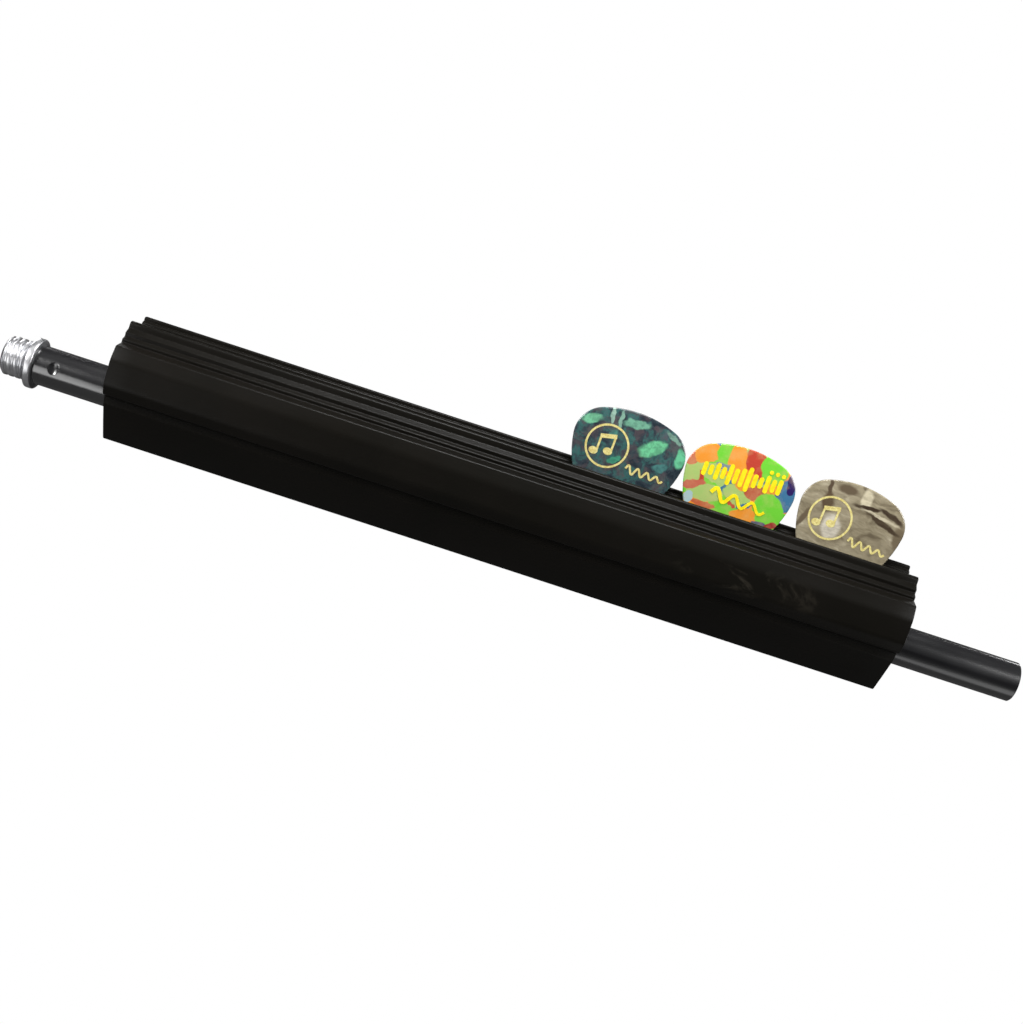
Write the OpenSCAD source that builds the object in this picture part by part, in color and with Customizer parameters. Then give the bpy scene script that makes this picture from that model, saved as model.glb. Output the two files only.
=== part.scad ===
// Clip-on pick holder: a flexible extrusion on a thin stand rod, with plectrums in its slot.
// X runs along the rod, Z is up and the slot opens upwards. Z = 0 is the rod's axis, and
// X = 0 is where the male thread of the rod's end ends. The threaded end points to -X.

/* [Rod] */
// Outside diameter of the stand rod, 3/8 inch
rod_d = 9.525; // [8:0.005:11]
// Wall thickness of the rod's tube
tube_wall = 1.2; // [1:0.1:1.5]
// Free rod between the flange and the holder
rod_left = 20.5; // [10:0.1:60]
// Free rod between the holder and the plain end
rod_right = 31.7; // [10:0.1:80]

/* [Threaded end] */
// Length of the male thread at full diameter
thread_len = 4.6; // [4:0.1:10]
// Height and length of the lead chamfer
thread_chamfer = 0.6; // [0.3:0.1:1]
// Length of the relief groove between thread and flange
relief_len = 1; // [0.6:0.1:2]
// Depth of the relief groove below the thread's crests
relief_depth = 0.7; // [0.3:0.1:1]
// Length of the cone between the relief groove and the flange's face
relief_cone = 0.4; // [0.2:0.1:0.6]
// Diameter of the stop flange
flange_d = 12.2; // [11.5:0.1:16]
// Thickness of the stop flange
flange_t = 1.7; // [0.8:0.1:3]
// Length of the plug inside the tube
plug_len = 16; // [12:1:40]
// Distance from the flange to the punched dimple that locks the plug
dimple_at = 5; // [4:0.1:9]
// Depth of the punched dimple
dimple_depth = 0.4; // [0.3:0.1:0.9]
// Angle of the dimple above the front
dimple_angle = 8; // [0:1:90]

/* [Holder] */
// Length of the extrusion, 7.5 inch
holder_len = 190.5; // [186:0.5:300]
// Height of the slot's front edge above the rod's axis
lip_z = 16.6; // [15.5:0.1:17]
// Rise of each jaw's top from the slot to its outer edge
dish_h = 1; // [0.4:0.1:1.2]
// Height of the guide rib behind the slot, above the slot's front edge
rib_h = 1.9; // [1.2:0.1:3]
// Width of the pick slot
slot_w = 1; // [0.9:0.05:1.2]
// Web between the slot's floor and the rod channel
web_t = 0.8; // [0.6:0.1:1.2]
// Width of the mouth that snaps over the rod
mouth_w = 6.4; // [5:0.1:7]
// Radial clearance between rod and channel
rod_gap = 0.04; // [0.02:0.01:0.1]

/* [Picks] */
// Width of the first pick
pick_1_w = 27.2; // [24:0.1:27.3]
// Width of the second pick
pick_2_w = 26.7; // [24:0.1:26.8]
// Width of the third pick
pick_3_w = 25.6; // [24:0.1:26]
// Height of a pick
pick_h = 27.4; // [26.5:0.1:30]
// Thickness of a pick
pick_t = 0.8; // [0.5:0.05:0.85]
// Place of the first pick's tip along the holder
pick_1_at = 117.7; // [20:0.1:118]
// Distance from the first pick's tip to the second's
pick_2_step = 27.4; // [27.4:0.1:29]
// Distance from the second pick's tip to the third's
pick_3_step = 27; // [27:0.1:28]
// Lean of the first pick towards the plain end, in degrees
pick_1_lean = 2; // [0:0.5:2]
// Lean of the second pick towards the plain end, in degrees
pick_2_lean = 1.5; // [1.5:0.5:3]
// Lean of the third pick towards the plain end, in degrees
pick_3_lean = 3.5; // [3:0.5:4]

/* [Hidden] */
$fn = 96;
arc_steps = 6;
overcut = 1;
flange_x = relief_len;
tube_x = flange_x + flange_t;
holder_x = tube_x + rod_left;
tube_len = rod_left + holder_len + rod_right;
channel_r = rod_d / 2 + rod_gap;
slot_z = channel_r + web_t;
rib_z = lip_z + rib_h;
mouth_z = -3;
dimple_r = 2.2;
flange_edge = 0.25;
flange_seat_gap = 0.1;
seat_gap = 0.1;
holder_colour = [0.1, 0.09, 0.08];

// One side of the extrusion, from the outer edge of its top down to the mouth:
// distance from the centre plane, height, and radius of the rounded corner.
side_outline = [
    [8.4, lip_z + dish_h, 0.9],
    [8.6, lip_z - 0.8, 0.4],
    [10, lip_z - 1.8, 0.4],
    [9.8, lip_z - 2.7, 0.3],
    [11.2, lip_z - 3.4, 0.5],
    [10.9, lip_z - 4.2, 0.3],
    [14.3, lip_z - 4.9, 0.7],
    [15.7, 8.5, 4],
    [15.7, 2.6, 3],
    [14.3, 0.2, 0.9],
    [12.4, -0.4, 0.3],
    [11.7, -2.4, 2],
    [8.2, -7, 8],
    [mouth_w / 2 + 0.3, -12.9, 0.9],
    [mouth_w / 2, mouth_z - 2, 0.5],
    [mouth_w / 2, mouth_z, 0]
];

// The slot, the bead at its rear edge and the guide rib, from the front jaw's top to the rear one's.
slot_outline = [
    [-slot_w / 2, lip_z, 0.3],
    [-slot_w / 2, slot_z, 0.2],
    [slot_w / 2, slot_z, 0.2],
    [slot_w / 2, lip_z + 0.8, 0.75],
    [slot_w / 2 + 1, lip_z + 0.9, 0.15],
    [slot_w / 2 + 1, rib_z, 0.45],
    [3.2, rib_z, 0.5],
    [3.4, lip_z, 0.4]
];

// The hollow chamber inside each jaw.
chamber_outline = [
    [2.6, 7.4, 0.6],
    [2.6, lip_z - 2.7, 0.6],
    [6.7, lip_z - 2.7, 0.6],
    [7.4, lip_z - 5.7, 0.8],
    [12.7, lip_z - 6.3, 1.2],
    [13.6, 4.4, 1.5],
    [12.2, 1.9, 0.8],
    [6.9, 2.3, 0.6]
];

// Outline of a pick: a tip circle and two shoulder circles, joined by wide arcs.
tip_r = 2.4;
side_r = 24.5;
// Radius of a shoulder circle, and drop of its centre below the pick's top, for each mm of width
shoulder_share = 0.262;
drop_share = 0.303;

function unit(v) = v / norm(v);

// Wraps an angle to -180 ... 180.
function turn_between(a, b) = ((b - a + 540) % 360) - 180;

// Points of an arc about m, from angle a through the turn t.
function arc(m, r, a, t, n) = [for (i = [0 : n]) m + r * [cos(a + t * i / n), sin(a + t * i / n)]];

// The rounded corner at c, between the points p and n.
function corner(p, c, n, r) =
    r == 0 ? [c] :
    let (u = unit(p - c), v = unit(n - c), half = acos(u * v) / 2)
    let (m = c + unit(u + v) * r / sin(half), s = c + u * r / tan(half) - m)
    let (e = c + v * r / tan(half) - m, a = atan2(s[1], s[0]))
    arc(m, r, a, turn_between(a, atan2(e[1], e[0])), arc_steps);

// A closed outline of [x, y, radius] points, with each corner rounded.
function rounded(path) =
    let (k = len(path), xy = [for (p = path) [p[0], p[1]]])
    [for (i = [0 : k - 1]) each corner(xy[(i + k - 1) % k], xy[i], xy[(i + 1) % k], path[i][2])];

function mirrored(path) = [for (p = path) [-p[0], p[1], p[2]]];

function reversed(path) = [for (i = [len(path) - 1 : -1 : 0]) path[i]];

function angle_of(v) = atan2(v[1], v[0]);

// Centre of the circle of radius ra about a and rb about b that lies left of a to b.
function meet(a, ra, b, rb) =
    let (d = norm(b - a), u = (b - a) / d, s = (ra * ra - rb * rb + d * d) / (2 * d))
    a + s * u + sqrt(ra * ra - s * s) * [-u[1], u[0]];

// An extruded outline of the holder's section, from x = start.
module along_x(outline, start, length) {
    translate([start, 0, 0])
        rotate([90, 0, 90])
            linear_extrude(length)
                polygon(outline);
}

module x_cylinder(r, start, length) {
    translate([start, 0, 0])
        rotate([0, 90, 0])
            cylinder(r = r, h = length);
}

module x_cone(r1, r2, start, length) {
    translate([start, 0, 0])
        rotate([0, 90, 0])
            cylinder(r1 = r1, r2 = r2, h = length);
}

module rod_tube() {
    color([0.09, 0.09, 0.1])
        difference() {
            x_cylinder(rod_d / 2, tube_x, tube_len);
            x_cylinder(rod_d / 2 - tube_wall, tube_x - overcut, tube_len + 2 * overcut);
            rotate([-dimple_angle, 0, 0])
                translate([tube_x + dimple_at, -rod_d / 2 + dimple_depth - dimple_r, 0])
                    sphere(r = dimple_r);
        }
}

module threaded_end() {
    thread_r = rod_d / 2;
    color([0.8, 0.8, 0.82])
        union() {
            x_cone(thread_r - thread_chamfer, thread_r, -thread_len - thread_chamfer, thread_chamfer);
            x_cylinder(thread_r, -thread_len, thread_len);
            x_cylinder(thread_r - relief_depth, 0, relief_len);
            x_cone(thread_r - relief_depth, thread_r + flange_seat_gap, flange_x - relief_cone, relief_cone);
            x_cone(flange_d / 2 - flange_edge, flange_d / 2, flange_x, flange_edge);
            x_cylinder(flange_d / 2, flange_x + flange_edge, flange_t - 2 * flange_edge);
            x_cone(flange_d / 2, flange_d / 2 - flange_edge, tube_x - flange_edge, flange_edge);
            x_cylinder(rod_d / 2 - tube_wall, tube_x, plug_len);
        }
}

module holder() {
    section = concat(reversed(mirrored(side_outline)), slot_outline, side_outline);
    color(holder_colour)
        difference() {
            along_x(rounded(section), holder_x, holder_len);
            x_cylinder(channel_r, holder_x - overcut, holder_len + 2 * overcut);
            for (chamber = [chamber_outline, mirrored(chamber_outline)])
                along_x(rounded(chamber), holder_x - overcut, holder_len + 2 * overcut);
        }
}

// Half of the outline of a pick of width w, from the middle of its tip up to the middle of its top.
function pick_half(w) =
    let (shoulder_r = shoulder_share * w, shoulder_x = w / 2 - shoulder_r, drop = drop_share * w)
    let (tip = [0, tip_r], shoulder = [shoulder_x, pick_h - drop])
    let (side = meet(tip, side_r - tip_r, shoulder, side_r - shoulder_r))
    let (top_r = (shoulder_x ^ 2 + drop ^ 2 - shoulder_r ^ 2) / (2 * (drop - shoulder_r)))
    let (top = [0, pick_h - top_r], low = angle_of(tip - side), high = angle_of(shoulder - side))
    let (crown = angle_of(shoulder - top))
    concat(
        arc(tip, tip_r, -90, low + 90, arc_steps),
        arc(side, side_r, low, high - low, 2 * arc_steps),
        arc(shoulder, shoulder_r, high, crown - high, 2 * arc_steps),
        arc(top, top_r, crown, 90 - crown, arc_steps)
    );

// A pick of a given width, leaning about the centre of its tip at a place along the holder.
module pick(at, width, lean, colour) {
    half = pick_half(width);
    color(colour)
        translate([holder_x + at, pick_t / 2, slot_z + seat_gap + tip_r])
            rotate([90, 0, 0])
                linear_extrude(pick_t)
                    rotate(-lean)
                        translate([0, -tip_r])
                            polygon(concat(half, [for (p = reversed(half)) [-p[0], p[1]]]));
}

module pick_teal() {
    pick(pick_1_at, pick_1_w, pick_1_lean, [0.12, 0.35, 0.3]);
}

module pick_confetti() {
    pick(pick_1_at + pick_2_step, pick_2_w, pick_2_lean, [0.6, 0.65, 0.25]);
}

module pick_grey() {
    pick(pick_1_at + pick_2_step + pick_3_step, pick_3_w, pick_3_lean, [0.45, 0.42, 0.38]);
}

rod_tube();
threaded_end();
holder();
pick_teal();
pick_confetti();
pick_grey();
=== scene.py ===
import math

import bpy
from mathutils import Matrix, Vector, noise
from mathutils.geometry import tessellate_polygon


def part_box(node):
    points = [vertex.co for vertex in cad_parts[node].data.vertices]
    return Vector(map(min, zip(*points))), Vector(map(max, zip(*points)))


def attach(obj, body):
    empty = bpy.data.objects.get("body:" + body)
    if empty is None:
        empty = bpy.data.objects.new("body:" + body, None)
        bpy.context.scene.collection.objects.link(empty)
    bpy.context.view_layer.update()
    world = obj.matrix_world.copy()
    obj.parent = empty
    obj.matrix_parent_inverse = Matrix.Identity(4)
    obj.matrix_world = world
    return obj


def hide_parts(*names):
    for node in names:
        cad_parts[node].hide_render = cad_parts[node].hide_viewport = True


# The pick holder's visual model: the flexible holder on its stand rod, with three printed picks.
# Lengths are in metres, with MM for millimetres. X and Y are the axes' numbers.

MM = 0.001
X, Y = 0, 1

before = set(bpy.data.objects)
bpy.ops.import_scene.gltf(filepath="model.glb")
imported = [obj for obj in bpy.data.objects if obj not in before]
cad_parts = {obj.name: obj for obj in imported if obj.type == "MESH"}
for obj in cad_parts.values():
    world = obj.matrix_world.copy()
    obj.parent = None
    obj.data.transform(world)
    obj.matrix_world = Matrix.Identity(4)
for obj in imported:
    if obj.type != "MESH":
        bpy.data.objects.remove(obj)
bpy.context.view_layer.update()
holder_low, holder_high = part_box("holder")
tube_low, tube_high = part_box("rod_tube")
plug_low, plug_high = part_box("threaded_end")


# ---------------------------------------------------------------- mesh helpers

def make_piece(name, points, faces, material, body, replaced, crease):
    """A smooth-shaded mesh object, with edges sharper than crease degrees kept sharp."""
    mesh = bpy.data.meshes.new(name)
    mesh.from_pydata([tuple(p) for p in points], [], faces)
    mesh.validate()
    mesh.shade_smooth()
    mesh.set_sharp_from_angle(angle=math.radians(crease))
    piece = bpy.data.objects.new(name, mesh)
    bpy.context.scene.collection.objects.link(piece)
    mesh.materials.append(material)
    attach(piece, body)
    if replaced:
        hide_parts(replaced)


def outer_edges(faces):
    """The directed edges of a patch of faces that only one of them has, in their order."""
    edges = {}
    for face in faces:
        for a, b in zip(face, face[1:] + face[:1]):
            if (b, a) in edges:
                del edges[(b, a)]
            else:
                edges[(a, b)] = True
    return list(edges)


SAME_LEVEL = 0.001 * MM


def cap_outlines(node, axis):
    """Closed outlines of a CAD node's lowest face across an axis, those with most points first.
    Each keeps the material on the same side."""
    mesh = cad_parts[node].data
    level = min(v.co[axis] for v in mesh.vertices)

    def key(index):
        return tuple(round(c / MM, 4) for c in mesh.vertices[index].co)

    cap = [[key(v) for v in face.vertices] for face in mesh.polygons
           if all(abs(mesh.vertices[v].co[axis] - level) < SAME_LEVEL for v in face.vertices)]
    following = dict(outer_edges(cap))
    outlines = []
    while following:
        start, here = next(iter(following.items()))
        outline = [Vector(start) * MM]
        del following[start]
        while here != start:
            outline.append(Vector(here) * MM)
            here = following.pop(here)
        outlines.append(outline)
    return sorted(outlines, key=len, reverse=True)


MITRE_LIMIT = 0.6


def inward(outline, axis):
    """A vector at each point of a cap outline, into the material, lengthened to mitre its corner."""
    normal = Vector((0, 0, 0))
    normal[axis] = -1
    steps = [b - a for a, b in zip(outline, outline[1:] + outline[:1])]
    sides = [normal.cross(s).normalized() for s in steps]
    vectors = []
    for before, after in zip(sides[-1:] + sides[:-1], sides):
        middle = (before + after).normalized()
        vectors.append(middle / max(MITRE_LIMIT, middle.dot(after)))
    return vectors


def join_rings(count, first, second):
    """Quads between two closed rings of count points, which start at the given indices."""
    return [(first + i, first + (i + 1) % count, second + (i + 1) % count, second + i)
            for i in range(count)]


def lathe(profile, turns, radius_at):
    """Rings about the X axis for (x, radius) pairs. radius_at(x, r, angle) shapes each point."""
    points = []
    for x, r in profile:
        for i in range(turns):
            angle = 2 * math.pi * i / turns
            here = radius_at(x, r, angle)
            points.append(Vector((x, here * math.cos(angle), here * math.sin(angle))))
    faces = []
    for k in range(len(profile) - 1):
        faces += join_rings(turns, k * turns, (k + 1) * turns)
    return points, faces


def rounded_edge(radius, steps):
    """(along, inset) pairs round a quarter circle, from an end face's edge to the side."""
    turn = [math.radians(90 * i / steps) for i in range(steps + 1)]
    return [(radius * (1 - math.cos(a)), radius * (1 - math.sin(a))) for a in turn]


def fan(count, first, centre, flip):
    """Triangles from a ring to a centre point."""
    pairs = [(first + i, first + (i + 1) % count) for i in range(count)]
    return [(b, a, centre) if flip else (a, b, centre) for a, b in pairs]


# ---------------------------------------------------------------- material helpers

def srgb(r, g, b):
    """A colour from 0-255 screen values, as the linear values shaders take."""
    def linear(c):
        c = c / 255
        return c / 12.92 if c <= 0.04045 else ((c + 0.055) / 1.055) ** 2.4
    return (linear(r), linear(g), linear(b), 1.0)


THROUGH = 1000


class Shader:
    """A Principled material with short calls for the nodes that feed it."""

    def __init__(self, name, **sockets):
        self.material = bpy.data.materials.new(name)
        self.material.use_nodes = True
        self.tree = self.material.node_tree
        self.bsdf = self.tree.nodes["Principled BSDF"]
        for socket, value in sockets.items():
            self.bsdf.inputs[socket.replace("_", " ")].default_value = value
        self.place = self.node("ShaderNodeTexCoord").outputs["Object"]

    def node(self, kind, **settings):
        made = self.tree.nodes.new(kind)
        for setting, value in settings.items():
            setattr(made, setting, value)
        return made

    def feed(self, socket, value):
        """Links an output to a socket, or sets the socket's value."""
        if isinstance(value, bpy.types.NodeSocket):
            self.tree.links.new(value, socket)
        else:
            socket.default_value = value

    def stretch(self, scale, source=None, offset=(0, 0, 0)):
        """Coordinates multiplied by scale on each axis, so that a small number draws a noise out."""
        mapping = self.node("ShaderNodeMapping")
        self.feed(mapping.inputs["Vector"], source or self.place)
        mapping.inputs["Scale"].default_value = scale
        mapping.inputs["Location"].default_value = offset
        return mapping.outputs["Vector"]

    def noise(self, scale, detail=4.0, roughness=0.55, source=None, distortion=0.0, colour=False):
        made = self.node("ShaderNodeTexNoise")
        self.feed(made.inputs["Vector"], source or self.place)
        made.inputs["Scale"].default_value = scale
        made.inputs["Detail"].default_value = detail
        made.inputs["Roughness"].default_value = roughness
        made.inputs["Distortion"].default_value = distortion
        return made.outputs["Color" if colour else "Fac"]

    def warp(self, amount, scale, source=None):
        """Coordinates pushed about by up to amount, in their own units."""
        source = source or self.place
        push = self.node("ShaderNodeVectorMath", operation="MULTIPLY_ADD")
        self.feed(push.inputs[0], self.noise(scale, 2.0, source=source, colour=True))
        push.inputs[1].default_value = (2 * amount,) * 3
        shift = self.node("ShaderNodeVectorMath", operation="SUBTRACT")
        self.feed(shift.inputs[0], source)
        shift.inputs[1].default_value = (amount,) * 3
        self.feed(push.inputs[2], shift.outputs[0])
        return push.outputs[0]

    def ramp(self, source, stops, constant=False):
        """stops are (position, colour) pairs; a number stands for a grey."""
        made = self.node("ShaderNodeValToRGB")
        made.color_ramp.interpolation = "CONSTANT" if constant else "LINEAR"
        elements = made.color_ramp.elements
        while len(elements) < len(stops):
            elements.new(0.5)
        for element, (position, colour) in zip(elements, stops):
            element.position = position
            element.color = colour if isinstance(colour, tuple) else (colour, colour, colour, 1)
        self.feed(made.inputs["Fac"], source)
        return made.outputs["Color"]

    def mix(self, share, a, b):
        made = self.node("ShaderNodeMix", data_type="RGBA")
        self.feed(made.inputs["Factor"], share)
        self.feed(made.inputs["A"], a)
        self.feed(made.inputs["B"], b)
        return made.outputs["Result"]

    def math(self, operation, a, b):
        """The result of a maths node, held between 0 and 1."""
        made = self.node("ShaderNodeMath", operation=operation, use_clamp=True)
        self.feed(made.inputs[0], a)
        self.feed(made.inputs[1], b)
        return made.outputs[0]

    def spread(self, source, low, high):
        """A noise's usual span, 0.3 to 0.7, mapped to low-high and held there."""
        made = self.node("ShaderNodeMapRange")
        self.feed(made.inputs["Value"], source)
        made.inputs["From Min"].default_value = 0.3
        made.inputs["From Max"].default_value = 0.7
        made.inputs["To Min"].default_value = low
        made.inputs["To Max"].default_value = high
        return made.outputs["Result"]

    def local(self, tip, lean):
        """Switches the coordinates to millimetres in a pick's own frame, up from its tip."""
        mapping = self.node("ShaderNodeMapping", vector_type="TEXTURE")
        self.feed(mapping.inputs["Vector"], self.place)
        mapping.inputs["Location"].default_value = (tip.x, 0, tip.y)
        mapping.inputs["Rotation"].default_value = (0, lean, 0)
        mapping.inputs["Scale"].default_value = (MM, MM, MM)
        self.place = mapping.outputs["Vector"]

    def patch(self, source, under, u, v, half_u, half_v, tilt, colour, soft=0.06):
        """Lays an elliptical patch of colour over what is under it. soft blurs its edge, and the
        ellipse is so deep that it goes right through the pick."""
        mapping = self.node("ShaderNodeMapping", vector_type="TEXTURE")
        self.feed(mapping.inputs["Vector"], source)
        mapping.inputs["Location"].default_value = (u, 0, v)
        mapping.inputs["Rotation"].default_value = (0, -math.radians(tilt), 0)
        mapping.inputs["Scale"].default_value = (half_u, THROUGH, half_v)
        length = self.node("ShaderNodeVectorMath", operation="LENGTH")
        self.feed(length.inputs[0], mapping.outputs["Vector"])
        edge = self.node("ShaderNodeMapRange", interpolation_type="SMOOTHSTEP")
        self.feed(edge.inputs["Value"], length.outputs["Value"])
        limits = (("From Min", 1 - soft), ("From Max", 1 + soft), ("To Min", 1), ("To Max", 0))
        for socket, value in limits:
            edge.inputs[socket].default_value = value
        return self.mix(edge.outputs["Result"], under, colour)

    def blob(self, centre, size):
        """1 at a centre, fading to 0 at the ellipsoid of that size."""
        away = self.node("ShaderNodeVectorMath", operation="SUBTRACT")
        self.feed(away.inputs[0], self.place)
        away.inputs[1].default_value = centre
        scaled = self.node("ShaderNodeVectorMath", operation="DIVIDE")
        self.feed(scaled.inputs[0], away.outputs[0])
        scaled.inputs[1].default_value = size
        length = self.node("ShaderNodeVectorMath", operation="LENGTH")
        self.feed(length.inputs[0], scaled.outputs[0])
        return self.math("SUBTRACT", 1.0, length.outputs["Value"])

    def bump(self, height, distance, strength, under=None):
        made = self.node("ShaderNodeBump")
        made.inputs["Strength"].default_value = strength
        made.inputs["Distance"].default_value = distance
        self.feed(made.inputs["Height"], height)
        if under is not None:
            self.feed(made.inputs["Normal"], under)
        return made.outputs["Normal"]

    def finish(self, colour, roughness, normal):
        self.feed(self.bsdf.inputs["Base Color"], colour)
        self.feed(self.bsdf.inputs["Roughness"], roughness)
        self.feed(self.bsdf.inputs["Normal"], normal)
        return self.material


# ---------------------------------------------------------------- materials

SMUDGE_PLACE = (holder_high.x - 37.7 * MM, holder_low.y, 5.2 * MM)
SMUDGE_SIZE = (22 * MM, 12 * MM, 4.5 * MM)


def rubber_material():
    """Satin black extruded rubber: lengthwise die lines, fine grain, dust and a handling smudge."""
    s = Shader("black_rubber_skin", Specular_IOR_Level=0.11)
    die_lines = s.noise(1.0, 3.0, source=s.stretch((6, 2600, 2600)))
    grain = s.noise(2600, 2.0)
    cloud = s.noise(45, 4.0, distortion=0.4)
    dust = s.ramp(s.noise(1500, 6.0, 0.75), [(0.66, 0.0), (0.8, 1.0)])
    tone = s.ramp(cloud, [(0.3, srgb(15, 14, 11)), (0.72, srgb(20, 18, 15))])
    dusty = s.mix(s.math("MULTIPLY", dust, 0.3), tone, srgb(80, 76, 66))
    smear = s.noise(160, 5.0, 0.7, source=s.stretch((0.45, 1, 1)), distortion=1.2)
    patch = s.math("MULTIPLY", s.blob(SMUDGE_PLACE, SMUDGE_SIZE),
                   s.ramp(smear, [(0.5, 0.0), (0.62, 1.0)]))
    colour = s.mix(s.math("MULTIPLY", patch, 0.4), dusty, srgb(74, 69, 60))
    roughness = s.spread(s.noise(90, 5.0, 0.65, source=s.stretch((0.3, 1, 1))), 0.28, 0.38)
    normal = s.bump(die_lines, 0.05 * MM, 0.35)
    normal = s.bump(grain, 0.03 * MM, 0.35, under=normal)
    return s.finish(colour, roughness, normal)


def rod_material():
    """Gloss-satin black paint on drawn tube: orange peel, faint draw lines and small rubs."""
    s = Shader("black_rod_paint", IOR=1.65, Specular_IOR_Level=1.0,
               Coat_Weight=0.3, Coat_Roughness=0.1)
    peel = s.noise(700, 3.0)
    draw = s.noise(1.0, 2.0, source=s.stretch((5, 1500, 1500)))
    rubbing = s.noise(420, 6.0, 0.7, source=s.stretch((0.35, 1, 1)))
    rubs = s.ramp(rubbing, [(0.64, 0.0), (0.74, 1.0)])
    tone = s.ramp(s.noise(60, 3.0), [(0.3, srgb(16, 16, 18)), (0.7, srgb(24, 24, 26))])
    colour = s.mix(s.math("MULTIPLY", rubs, 0.2), tone, srgb(80, 80, 84))
    roughness = s.spread(s.noise(150, 4.0, 0.6, source=s.stretch((0.3, 1, 1))), 0.17, 0.25)
    normal = s.bump(peel, 0.03 * MM, 0.12)
    normal = s.bump(draw, 0.02 * MM, 0.3, under=normal)
    return s.finish(colour, roughness, normal)


def plate_material():
    """Bright zinc plate over turned steel: turning rings, cloudy patches and fine pits."""
    s = Shader("zinc_plate", Metallic=1.0)
    rings = s.noise(1.0, 2.0, source=s.stretch((6000, 60, 60)))
    cloud = s.noise(350, 4.0)
    pits = s.ramp(s.noise(1500, 3.0), [(0.66, 0.0), (0.78, 1.0)])
    tone = s.ramp(cloud, [(0.3, srgb(196, 197, 200)), (0.7, srgb(228, 228, 230))])
    colour = s.mix(s.math("MULTIPLY", pits, 0.2), tone, srgb(150, 150, 152))
    roughness = s.spread(s.noise(500, 4.0), 0.3, 0.4)
    normal = s.bump(rings, 0.02 * MM, 0.12)
    return s.finish(colour, roughness, normal)


def celluloid(name, tip, lean):
    """The start of a polished pick material, in the pick's own millimetres."""
    s = Shader(name, Coat_Weight=0.35, Coat_Roughness=0.06, Specular_IOR_Level=0.4)
    s.local(tip, lean)
    return s


def polish(s, colour):
    """Fine waviness and hairline wear over a celluloid colour."""
    hairlines = s.noise(1.0, 3.0, source=s.stretch((0.5, 1, 9)))
    worn = s.ramp(hairlines, [(0.6, 0.0), (0.66, 1.0)])
    sheen = s.spread(s.noise(0.5), 0.1, 0.2)
    roughness = s.mix(s.math("MULTIPLY", worn, 0.5), sheen, (0.4, 0.4, 0.4, 1))
    return s.finish(colour, roughness, s.bump(s.noise(0.5), 0.02 * MM, 0.3))


# Each flake, patch or swirl on a pick gives its centre across and up from the tip and its half
# width and half height, in millimetres, then its tilt in degrees and its screen colour.

TEAL_FLAKES = [(-10.6, 22.6, 2.5, 1.1, 16, (116, 188, 148)), (0.0, 24.6, 3.2, 1.1, 12, (112, 168, 142)),
               (5.1, 20.6, 3.3, 1.7, 34, (112, 198, 148)), (12.2, 20.4, 1.1, 2.4, 12, (104, 192, 146)),
               (-2.2, 15.1, 1.6, 0.8, 30, (68, 146, 118)), (8.4, 17.0, 1.9, 1.0, 40, (74, 126, 122)),
               (-4.4, 20.8, 0.9, 1.4, 0, (76, 130, 120)), (9.4, 24.4, 2.2, 0.7, -30, (118, 154, 138)),
               (-6.2, 25.2, 0.5, 1.9, 10, (150, 184, 166)), (-4.0, 24.6, 0.5, 2.2, 4, (128, 168, 150)),
               (2.6, 7.0, 2.6, 1.3, 60, (104, 184, 142)), (-3.0, 8.4, 1.5, 0.9, 20, (84, 156, 128))]


def teal_material(tip, lean):
    """Dark green pearl celluloid with bright green flakes."""
    s = celluloid("teal_pearl_celluloid", tip, lean)
    bent = s.warp(1.2, 0.22, s.warp(0.35, 1.1))
    cloud = s.noise(0.28, 4.0, 0.6, source=bent, distortion=0.6)
    dark = s.ramp(cloud, [(0.36, srgb(38, 48, 56)), (0.46, srgb(56, 66, 74)),
                          (0.54, srgb(58, 104, 100)), (0.64, srgb(78, 88, 94))])
    brown = s.ramp(s.noise(0.33, 3.0, source=s.stretch((1, 1, 1), bent, (7, 0, 3))),
                   [(0.5, 0.0), (0.6, 0.7)])
    colour = s.mix(brown, dark, srgb(88, 76, 80))
    for u, v, half_u, half_v, tilt, tone in TEAL_FLAKES:
        colour = s.patch(bent, colour, u, v, half_u, half_v, tilt, srgb(*tone), 0.2)
    depth = s.ramp(s.noise(0.9, 5.0, 0.6, source=bent), [(0.44, 0.0), (0.64, 0.4)])
    return polish(s, s.mix(depth, colour, srgb(42, 54, 60)))


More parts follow.
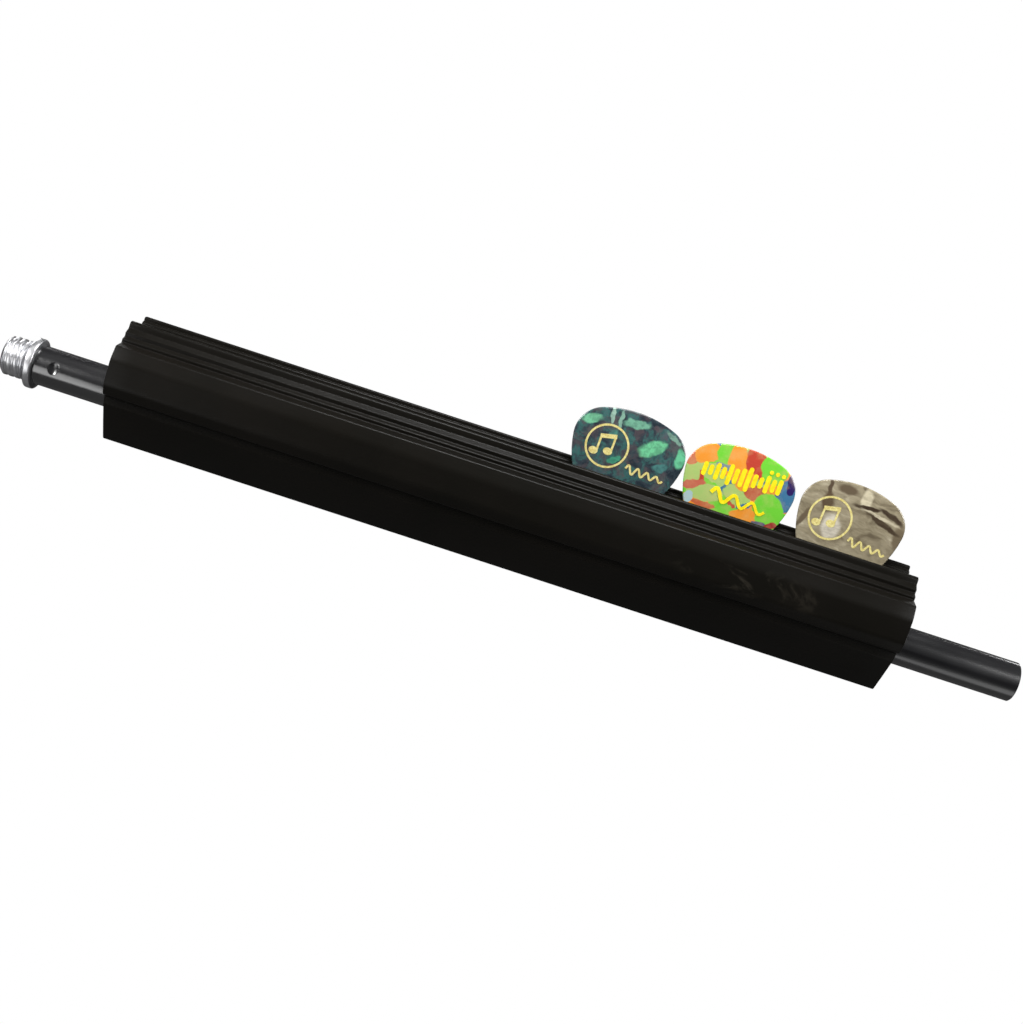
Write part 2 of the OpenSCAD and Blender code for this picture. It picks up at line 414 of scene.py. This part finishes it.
ORANGE, LIME, BRICK = (234, 148, 52), (112, 204, 60), (186, 68, 52)
OLIVE, STEEL, VIOLET = (166, 196, 112), (64, 114, 150), (46, 32, 92)
CONFETTI_PATCHES = [(-11.6, 17.6, 2.2, 3.0, 10, OLIVE), (-7.0, 14.4, 4.4, 2.2, 10, OLIVE),
                    (0.4, 16.4, 3.4, 2.2, 0, OLIVE), (-12.2, 21.4, 1.2, 2.2, -20, (200, 104, 78)),
                    (-9.2, 23.4, 3.4, 2.4, 20, ORANGE), (-5.4, 25.0, 2.1, 3.2, 10, LIME),
                    (-2.0, 23.4, 2.3, 4.6, 16, ORANGE), (2.2, 24.6, 2.4, 3.8, 36, BRICK),
                    (6.6, 24.6, 3.4, 3.4, -30, LIME), (11.2, 19.6, 2.6, 3.8, 10, STEEL),
                    (11.6, 22.4, 1.0, 2.2, 20, VIOLET), (-4.4, 21.6, 1.9, 0.9, 10, (104, 132, 150)),
                    (-10.2, 15.6, 2.9, 1.0, 24, (194, 104, 82)), (0.8, 20.2, 2.2, 2.6, 0, ORANGE),
                    (4.4, 18.2, 2.6, 2.0, 20, (182, 84, 62)), (8.4, 15.4, 3.6, 3.6, 0, LIME),
                    (3.4, 12.2, 3.2, 1.7, 10, ORANGE), (7.8, 11.4, 2.0, 1.0, 0, (92, 92, 114)),
                    (10.4, 12.0, 1.8, 0.7, 20, (150, 54, 50)), (-10.2, 12.2, 1.1, 1.9, 0, (168, 196, 200)),
                    (-6.4, 11.3, 2.9, 0.9, 0, (190, 98, 64)), (0.2, 6.4, 2.6, 1.8, 30, BRICK)]


def confetti_material(tip, lean):
    """Celluloid in bold many-coloured patches."""
    s = celluloid("confetti_celluloid", tip, lean)
    bent = s.warp(1.3, 0.2, s.warp(0.25, 1.2))
    cells = s.node("ShaderNodeTexVoronoi", feature="F1")
    s.feed(cells.inputs["Vector"], bent)
    cells.inputs["Scale"].default_value = 0.22
    choice = s.node("ShaderNodeSeparateColor")
    s.feed(choice.inputs["Color"], cells.outputs["Color"])
    stops = [(0.0, ORANGE), (0.25, LIME), (0.5, OLIVE), (0.7, BRICK), (0.85, STEEL)]
    colour = s.ramp(choice.outputs["Red"], [(p, srgb(*tone)) for p, tone in stops], constant=True)
    for u, v, half_u, half_v, tilt, tone in CONFETTI_PATCHES:
        colour = s.patch(bent, colour, u, v, half_u, half_v, tilt, srgb(*tone))
    veil = s.ramp(s.noise(0.3, 4.0, 0.6), [(0.45, 0.0), (0.75, 0.4)])
    return polish(s, s.mix(veil, colour, srgb(214, 186, 130)))


GREY_SWIRLS = [(1.3, 24.6, 1.2, 2.4, 10, (206, 196, 168)), (-3.6, 25.4, 2.6, 1.0, -8, (98, 85, 68)),
               (-7.7, 24.4, 0.5, 2.2, 14, (84, 70, 56)), (-4.2, 15.6, 2.2, 2.8, 10, (210, 203, 186)),
               (-6.8, 21.0, 1.4, 2.4, 10, (88, 72, 56)), (11.8, 18.9, 1.7, 3.0, 10, (112, 100, 80)),
               (2.2, 23.0, 3.4, 0.5, 8, (58, 46, 36)), (8.2, 23.0, 3.4, 0.6, -16, (62, 50, 40)),
               (7.0, 20.8, 4.8, 0.6, -14, (66, 54, 42)), (6.0, 22.0, 4.6, 0.35, -6, (196, 186, 160)),
               (-11.0, 16.0, 0.7, 3.0, -20, (104, 92, 74)), (2.0, 7.5, 4.0, 0.6, 50, (70, 58, 46))]


def grey_material(tip, lean):
    """Grey-taupe pearl celluloid with dark streaks and pale swirls."""
    s = celluloid("grey_pearl_celluloid", tip, lean)
    bent = s.warp(1.0, 0.2, s.warp(0.2, 1.0))
    swirl = s.noise(0.2, 4.0, 0.55, source=s.stretch((0.7, 1, 1.5), bent), distortion=0.7)
    colour = s.ramp(swirl, [(0.32, srgb(104, 94, 76)), (0.46, srgb(146, 136, 112)),
                            (0.58, srgb(158, 148, 124)), (0.7, srgb(190, 181, 156))])
    for u, v, half_u, half_v, tilt, tone in GREY_SWIRLS:
        colour = s.patch(bent, colour, u, v, half_u, half_v, tilt, srgb(*tone), 0.3)
    strands = s.noise(0.8, 5.0, 0.6, source=s.stretch((0.5, 1, 1.6), bent))
    silk = s.ramp(strands, [(0.42, 0.0), (0.66, 0.4)])
    return polish(s, s.mix(silk, colour, srgb(96, 86, 68)))


def foil_material():
    """Hot-stamped gold foil, slightly broken up."""
    s = Shader("gold_foil_stamp", Metallic=0.25)
    worn = s.ramp(s.noise(1800, 4.0, 0.7), [(0.35, srgb(214, 194, 108)), (0.6, srgb(250, 238, 164))])
    return s.finish(worn, s.spread(s.noise(2500), 0.3, 0.5), s.bump(s.noise(3000), 0.02 * MM, 0.3))


def ink_material():
    """Opaque yellow pad-printed ink."""
    s = Shader("yellow_print_ink", Specular_IOR_Level=0.4)
    tone = s.ramp(s.noise(900, 4.0), [(0.35, srgb(238, 214, 10)), (0.65, srgb(255, 236, 30))])
    return s.finish(tone, s.spread(s.noise(1800), 0.35, 0.5), s.bump(s.noise(2400), 0.02 * MM, 0.3))


# ---------------------------------------------------------------- holder

END_ROUND = 0.2 * MM
END_STEPS = 4
STATION = 5 * MM
WAVE_DEPTH = 0.05 * MM
WAVE_LENGTH = 45 * MM
WAVE_ACROSS = 12 * MM
CHANNEL_CLEAR = 8 * MM
SLOT_CLEAR = 3 * MM


def end_stations(start, end, radius):
    """(place, inset) pairs along an extrusion, with both end edges rounded."""
    rise = rounded_edge(radius, END_STEPS)
    straight = end - start - 2 * radius
    inner = round(straight / STATION)
    middle = [(start + radius + straight * i / inner, 0.0) for i in range(1, inner)]
    return [(start + d, i) for d, i in rise] + middle + [(end - d, i) for d, i in reversed(rise)]


def extrusion(outlines, axis, stations, shape=None):
    """Points and faces of a solid from cap outlines, one set of rings for each station."""
    points, faces, caps = [], [], ([], [])
    for outline in outlines:
        into = inward(outline, axis)
        first = len(points)
        count = len(outline)
        for place, inset in stations:
            for p, n in zip(outline, into):
                q = p + n * inset
                q[axis] = place
                points.append(shape(q, n) if shape else q)
        for k in range(len(stations) - 1):
            a, b = first + k * count, first + (k + 1) * count
            faces += [tuple(reversed(f)) for f in join_rings(count, a, b)]
        caps[0].append(list(range(first, first + count)))
        last = first + (len(stations) - 1) * count
        caps[1].append(list(range(last, last + count)))
    for side, rings in enumerate(caps):
        order = [i for ring in rings for i in ring]
        flat = [[points[i] for i in ring] for ring in rings]
        for triangle in tessellate_polygon(flat):
            face = [order[i] for i in triangle]
            a, b, c = (points[i] for i in face)
            outwards = (b - a).cross(c - a)[axis] > 0
            faces.append(tuple(face if outwards == bool(side) else reversed(face)))
    return points, faces


def settle(point, into):
    """The soft, slightly uneven surface of extruded rubber: it only ever sinks. What is near the
    rod's channel or the pick slot stays true."""
    if math.hypot(point.y, point.z) < CHANNEL_CLEAR or abs(point.y) < SLOT_CLEAR:
        return point
    place = Vector((point.x / WAVE_LENGTH, point.y / WAVE_ACROSS, point.z / WAVE_ACROSS))
    return point + into * WAVE_DEPTH * (0.5 + 0.5 * noise.noise(place))


def build_holder():
    stations = end_stations(holder_low.x, holder_high.x, END_ROUND)
    points, faces = extrusion(cap_outlines("holder", X), X, stations, settle)
    make_piece("holder_extrusion", points, faces, rubber_material(), "clip", "holder", 28)


# ---------------------------------------------------------------- rod

ROD_R = tube_high.z
TUBE_WALL = 1.2 * MM
BORE_R = ROD_R - TUBE_WALL
DIMPLE_X = tube_low.x + 5 * MM
DIMPLE_R = 1.3 * MM
DIMPLE_DEPTH = 0.4 * MM
DIMPLE_UP = math.radians(8)
DIMPLE_REACH = 1.6 * MM
DIMPLE_STEP = 0.08 * MM
DIMPLE_STEPS = 18
DIMPLE_LONG = 0.85
ROD_STEPS = 40
ROD_TURNS = 192
EDGE = 0.2 * MM


def punched(x, r, angle):
    """The tube's outside, with a punch mark facing the front, a little longer round the tube."""
    if r < ROD_R - EDGE / 2:
        return r
    around = (angle - (math.pi - DIMPLE_UP) + math.pi) % (2 * math.pi) - math.pi
    away = math.hypot(x - DIMPLE_X, DIMPLE_LONG * around * r) / DIMPLE_R
    return r - DIMPLE_DEPTH * max(0.0, 1 - away * away)


def build_rod():
    start, end = tube_low.x, tube_high.x
    dense = [DIMPLE_X + i * DIMPLE_STEP for i in range(-DIMPLE_STEPS, DIMPLE_STEPS + 1)]
    even = [start + EDGE + (end - start - 2 * EDGE) * i / ROD_STEPS for i in range(ROD_STEPS + 1)]
    along = sorted([x for x in even if abs(x - DIMPLE_X) > DIMPLE_REACH] + dense)
    profile = [(start, BORE_R), (start, ROD_R - EDGE)]
    profile += [(x, ROD_R) for x in along]
    profile += [(end, ROD_R - EDGE), (end, BORE_R + EDGE / 2), (end - EDGE / 2, BORE_R)]
    points, faces = lathe(profile, ROD_TURNS, punched)
    faces += join_rings(ROD_TURNS, (len(profile) - 1) * ROD_TURNS, 0)
    faces = [tuple(reversed(f)) for f in faces]
    make_piece("rod_painted_tube", points, faces, rod_material(), "rod", "rod_tube", 40)


# ---------------------------------------------------------------- threaded end

PITCH = 25.4 / 16 * MM
THREAD_R = ROD_R
THREAD_DEPTH = 0.45 * MM
THREAD_CHAMFER = 0.6 * MM
THREAD_STEPS = 96
# The shares of the pitch that stay at full height and at full depth.
CREST = 0.32
ROOT = 0.2
# The turns fade out over this share of the pitch, where the relief begins.
FADE = 0.4
RELIEF_R = THREAD_R - 0.7 * MM
RELIEF_SLOPE = 0.15 * MM
RELIEF_CONE = 0.4 * MM
FLANGE_X = 1.0 * MM
FLANGE_R = plug_high.z
FLANGE_T = tube_low.x - FLANGE_X
FLANGE_EDGE = 0.35 * MM
FLANGE_STEPS = 6
PLUG_CHAMFER = 0.5 * MM
PLUG_TURNS = 144


def thread_shape(x, r, angle):
    """A right-hand thread cut into the crest cylinder, fading out towards the relief."""
    if x > 0 or r < RELIEF_R:
        return r
    phase = (x / PITCH - angle / (2 * math.pi)) % 1
    climb = abs(2 * phase - 1)
    cut = min(1.0, max(0.0, (climb - CREST) / (1 - CREST - ROOT)))
    flank = cut * cut * (3 - 2 * cut)
    fade = min(1.0, -x / (FADE * PITCH))
    return min(r, THREAD_R - THREAD_DEPTH * flank * fade)


def build_threaded_end():
    start = plug_low.x
    profile = [(start, RELIEF_R)]
    for i in range(THREAD_STEPS + 1):
        x = start - start * i / THREAD_STEPS
        profile.append((x, min(THREAD_R, THREAD_R - THREAD_CHAMFER + (x - start))))
    profile += [(RELIEF_SLOPE, RELIEF_R), (FLANGE_X - RELIEF_CONE, RELIEF_R), (FLANGE_X, THREAD_R)]
    rise = rounded_edge(FLANGE_EDGE, FLANGE_STEPS)
    profile += [(FLANGE_X + d, FLANGE_R - i) for d, i in rise]
    profile += [(FLANGE_X + FLANGE_T - d, FLANGE_R - i) for d, i in reversed(rise)]
    profile += [(tube_low.x, BORE_R), (plug_high.x - PLUG_CHAMFER, BORE_R)]
    profile += [(plug_high.x, BORE_R - PLUG_CHAMFER)]
    points, faces = lathe(profile, PLUG_TURNS, thread_shape)
    faces = [tuple(reversed(f)) for f in faces]
    front, back = len(points), len(points) + 1
    points += [Vector((start, 0, 0)), Vector((plug_high.x, 0, 0))]
    faces += fan(PLUG_TURNS, 0, front, False)
    faces += fan(PLUG_TURNS, (len(profile) - 1) * PLUG_TURNS, back, True)
    make_piece("threaded_plug", points, faces, plate_material(), "rod", "threaded_end", 40)


# ---------------------------------------------------------------- picks

TEAL_LEAN = math.radians(2)
CONFETTI_LEAN = math.radians(1.5)
GREY_LEAN = math.radians(3.5)
PICK_EDGE = 0.34 * MM
PICK_STEPS = 5
PRINT_LIFT = 0.03 * MM
PRINT_STEP = 0.004 * MM
PRINT_LINE = 0.5 * MM
WAVE_STEPS = 96


def tip_of(node):
    """The lowest point of a pick, as a 2-D point in the X-Z plane."""
    points = cap_outlines(node, Y)[0]
    lowest = min(points, key=lambda p: p.z)
    return Vector((lowest.x, lowest.z))


def build_pick(node, body, material):
    low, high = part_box(node)
    rise = rounded_edge(PICK_EDGE, PICK_STEPS)
    stations = [(low.y + d, i) for d, i in rise] + [(high.y - d, i) for d, i in reversed(rise)]
    points, faces = extrusion(cap_outlines(node, Y), Y, stations)
    make_piece(node + "_celluloid", points, faces, material, body, node, 50)


def ribbon(path, width, closed=False):
    """A flat stroke of a given width along (u, v) points: its points and faces in the plane."""
    count = len(path)
    points, faces = [], []
    for i, here in enumerate(path):
        before = path[i - 1] if closed or i else here
        after = path[(i + 1) % count] if closed or i < count - 1 else here
        along = (Vector(after) - Vector(before)).normalized()
        side = Vector((-along.y, along.x))
        half = (width(i / (count - 1)) if callable(width) else width) / 2
        points += [Vector(here) + side * half, Vector(here) - side * half]
    for i in range(count if closed else count - 1):
        a, b = 2 * i, 2 * ((i + 1) % count)
        faces.append((a, a + 1, b + 1, b))
    return points, faces


def build_print(node, body, strokes, material, tip, lean):
    """Raised strokes on the front face of a pick, given from its tip as (u, v) metres, with their
    roots sunk in the pick. Each stroke stands a little prouder than the one before, so that none
    share a surface."""
    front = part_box(node)[0].y
    points, faces = [], []
    for k, (flat, quads) in enumerate(strokes):
        first = len(points)
        lift = PRINT_LIFT + k * PRINT_STEP
        for layer in (front - lift, front + PRINT_LIFT):
            for p in flat:
                q = Matrix.Rotation(-lean, 2) @ p
                points.append(Vector((tip.x + q.x, layer, tip.y + q.y)))
        sunk = first + len(flat)
        for face in quads:
            faces.append(tuple(first + i for i in reversed(face)))
            faces.append(tuple(sunk + i for i in face))
        for a, b in outer_edges(quads):
            faces.append((first + a, first + b, sunk + b, sunk + a))
    name = node.replace("pick", "print") + "_motif"
    make_piece(name, points, faces, material, body, None, 30)


def circle(centre, radius, steps, start=0.0, sweep=360.0, squeeze=1.0):
    """Points round a circle, or along an arc with both of its ends."""
    return [(centre[0] + radius * math.cos(math.radians(start + sweep * i / steps)),
             centre[1] + radius * squeeze * math.sin(math.radians(start + sweep * i / steps)))
            for i in range(steps + (sweep < 360))]


def disc(centre, radius, squeeze):
    """A filled circle, or an ellipse squeezed in height."""
    points = [Vector(p) for p in circle(centre, radius, 24, squeeze=squeeze)]
    return points, [tuple(range(len(points)))]


def wave(start, length, height, cycles, taper, slope=0.0):
    """A running wave that gets lower towards its end."""
    path = []
    for i in range(WAVE_STEPS + 1):
        t = i / WAVE_STEPS
        path.append((start[0] + length * t,
                     start[1] + slope * t + height * (1 - taper * t) * math.sin(2 * math.pi * cycles * t)))
    return path


def bar(x, low, high, width):
    """One upright bar with round ends."""
    r = width / 2
    ends = circle((x, high - r), r, 8, 0, 180) + [(x - r, low + r)]
    ends += circle((x, low + r), r, 8, 180, 180)
    points = [Vector(p) for p in ends]
    return points, [tuple(range(len(points)))]


def note_motif():
    """A ring with a pair of joined notes in it and a tapering wave beside it."""
    strokes = [ribbon(circle((-5.0 * MM, 17.6 * MM), 5.0 * MM, 64), PRINT_LINE, closed=True)]
    for x in (-7.0, -3.7):
        rise = 0.25 * (x + 7.0)
        foot, top = (x * MM, (15.6 + rise) * MM), (x * MM, (19.6 + rise) * MM)
        strokes.append(disc((foot[0] - 0.75 * MM, foot[1]), 1.1 * MM, 0.8))
        strokes.append(ribbon([foot, top], PRINT_LINE))
    strokes.append(ribbon([(-7.25 * MM, 19.4 * MM), (-3.45 * MM, 20.35 * MM)], 1.0 * MM))
    strokes.append(ribbon(wave((0.9 * MM, 14.1 * MM), 9.2 * MM, 1.0 * MM, 4, 0.5), PRINT_LINE))
    return strokes


def bars_motif():
    """A bold row of level bars with three dots over its end and a wave under it."""
    heights = [3.4, 2.6, 4.2, 3.0, 5.2, 3.8, 4.6, 6.0, 3.4, 2.8, 4.4, 3.2, 3.8]
    strokes = []
    for i, h in enumerate(heights):
        x = (-8.9 + 1.5 * i) * MM
        middle = (19.7 + 0.12 * i) * MM
        strokes.append(bar(x, middle - h * MM / 2, middle + h * MM / 2, 1.1 * MM))
    strokes += [disc(((6.2 + 1.5 * i) * MM, 23.9 * MM), 0.5 * MM, 1.0) for i in range(3)]
    strokes.append(ribbon(wave((-5.6 * MM, 14.9 * MM), 13.4 * MM, 1.4 * MM, 3, 0.35, -0.4 * MM),
                          lambda t: (0.95 - 0.35 * t) * MM))
    return strokes


# ---------------------------------------------------------------- stage

WHITE = (1, 1, 1, 1)
WORLD_STRENGTH = 0.06
FLOOR_HALF = 6.0
FLOOR_DROP = 0.4


def softbox(name, place, aim, size, power):
    """A rectangular lamp that faces aim, with its size in metres and its power in watts."""
    light = bpy.data.lights.new(name, "AREA")
    light.shape = "RECTANGLE"
    light.size, light.size_y = size
    light.energy = power
    lamp = bpy.data.objects.new(name, light)
    bpy.context.scene.collection.objects.link(lamp)
    lamp.location = place
    lamp.rotation_mode = "QUATERNION"
    lamp.rotation_quaternion = (Vector(aim) - Vector(place)).to_track_quat("-Z", "Y")
    lamp.visible_camera = False


def plain_for_camera(tree, output, other):
    """The camera sees the stage plain white, and the object is lit by the other shader."""
    nodes, links = tree.nodes, tree.links
    path = nodes.new("ShaderNodeLightPath")
    glow = nodes.new("ShaderNodeEmission" if output.type == "OUTPUT_MATERIAL" else "ShaderNodeBackground")
    glow.inputs["Color"].default_value = WHITE
    mix = nodes.new("ShaderNodeMixShader")
    links.new(path.outputs["Is Camera Ray"], mix.inputs["Fac"])
    links.new(other.outputs[0], mix.inputs[1])
    links.new(glow.outputs[0], mix.inputs[2])
    links.new(mix.outputs[0], output.inputs["Surface"])


def build_stage(middle):
    world = bpy.data.worlds.new("studio")
    bpy.context.scene.world = world
    world.use_nodes = True
    background = world.node_tree.nodes["Background"]
    background.inputs["Color"].default_value = WHITE
    background.inputs["Strength"].default_value = WORLD_STRENGTH
    plain_for_camera(world.node_tree, world.node_tree.nodes["World Output"], background)

    mesh = bpy.data.meshes.new("pale_floor")
    corners = [(-1, -1), (1, -1), (1, 1), (-1, 1)]
    mesh.from_pydata([(middle.x + x * FLOOR_HALF, middle.y + y * FLOOR_HALF, -FLOOR_DROP)
                      for x, y in corners], [], [(0, 1, 2, 3)])
    floor = bpy.data.objects.new("pale_floor", mesh)
    bpy.context.scene.collection.objects.link(floor)
    pale = bpy.data.materials.new("pale_floor_paint")
    pale.use_nodes = True
    bsdf = pale.node_tree.nodes["Principled BSDF"]
    bsdf.inputs["Base Color"].default_value = (0.1, 0.1, 0.1, 1)
    bsdf.inputs["Roughness"].default_value = 0.9
    plain_for_camera(pale.node_tree, pale.node_tree.nodes["Material Output"], bsdf)
    mesh.materials.append(pale)

    for side in (-1, 1):
        softbox("front_key", middle + Vector((side * 0.5, -0.33, 0.25)), middle, (0.25, 0.25), 3.4)
        softbox("back_key", middle + Vector((side * 0.5, 0.42, 0.3)), middle, (0.3, 0.3), 2.4)
    softbox("top_strip", middle + Vector((0.0, -0.1, 0.55)), middle, (0.26, 0.12), 3.4)
    softbox("left_low", middle + Vector((-0.31, -0.4, -0.18)), middle, (0.2, 0.3), 0.46)
    softbox("right_low", middle + Vector((0.26, -0.17, -0.3)), middle, (0.14, 0.2), 0.06)


# ---------------------------------------------------------------- camera

CAMERA_DISTANCE = 0.335
CAMERA_UP = math.radians(8)
CAMERA_ROLL = math.radians(18.08)
CAMERA_LENS = 49.6
CAMERA_RIGHT = 1.5 * MM
CAMERA_BACK = 0.5 * MM
CAMERA_BELOW_TOP = 17.1 * MM


def build_camera(target):
    """A camera that looks at the target from the front and a little above, rolled to its left."""
    data = bpy.data.cameras.new("camera")
    data.lens = CAMERA_LENS
    data.sensor_width = 36
    data.clip_start = 0.01
    camera = bpy.data.objects.new("camera", data)
    bpy.context.scene.collection.objects.link(camera)
    forward = Vector((0, math.cos(CAMERA_UP), -math.sin(CAMERA_UP)))
    right = Vector((1, 0, 0))
    up = right.cross(forward)
    right, up = (right * math.cos(CAMERA_ROLL) + up * math.sin(CAMERA_ROLL),
                 up * math.cos(CAMERA_ROLL) - right * math.sin(CAMERA_ROLL))
    turn = Matrix((right, up, -forward)).transposed().to_4x4()
    camera.matrix_world = Matrix.Translation(target - forward * CAMERA_DISTANCE) @ turn
    bpy.context.scene.camera = camera


# ---------------------------------------------------------------- build

build_holder()
build_rod()
build_threaded_end()
teal_tip, confetti_tip, grey_tip = (tip_of(n) for n in ("pick_teal", "pick_confetti", "pick_grey"))
build_pick("pick_teal", "first_pick", teal_material(teal_tip, TEAL_LEAN))
build_pick("pick_confetti", "second_pick", confetti_material(confetti_tip, CONFETTI_LEAN))
build_pick("pick_grey", "third_pick", grey_material(grey_tip, GREY_LEAN))
foil = foil_material()
build_print("pick_teal", "first_pick", note_motif(), foil, teal_tip, TEAL_LEAN)
ink = ink_material()
build_print("pick_confetti", "second_pick", bars_motif(), ink, confetti_tip, CONFETTI_LEAN)
build_print("pick_grey", "third_pick", note_motif(), foil, grey_tip, GREY_LEAN)

middle = (holder_low + holder_high) / 2
build_stage(Vector((middle.x, 0, middle.z)))
build_camera(Vector((middle.x + CAMERA_RIGHT, CAMERA_BACK, holder_high.z - CAMERA_BELOW_TOP)))
bpy.context.scene.view_settings.view_transform = "Standard"
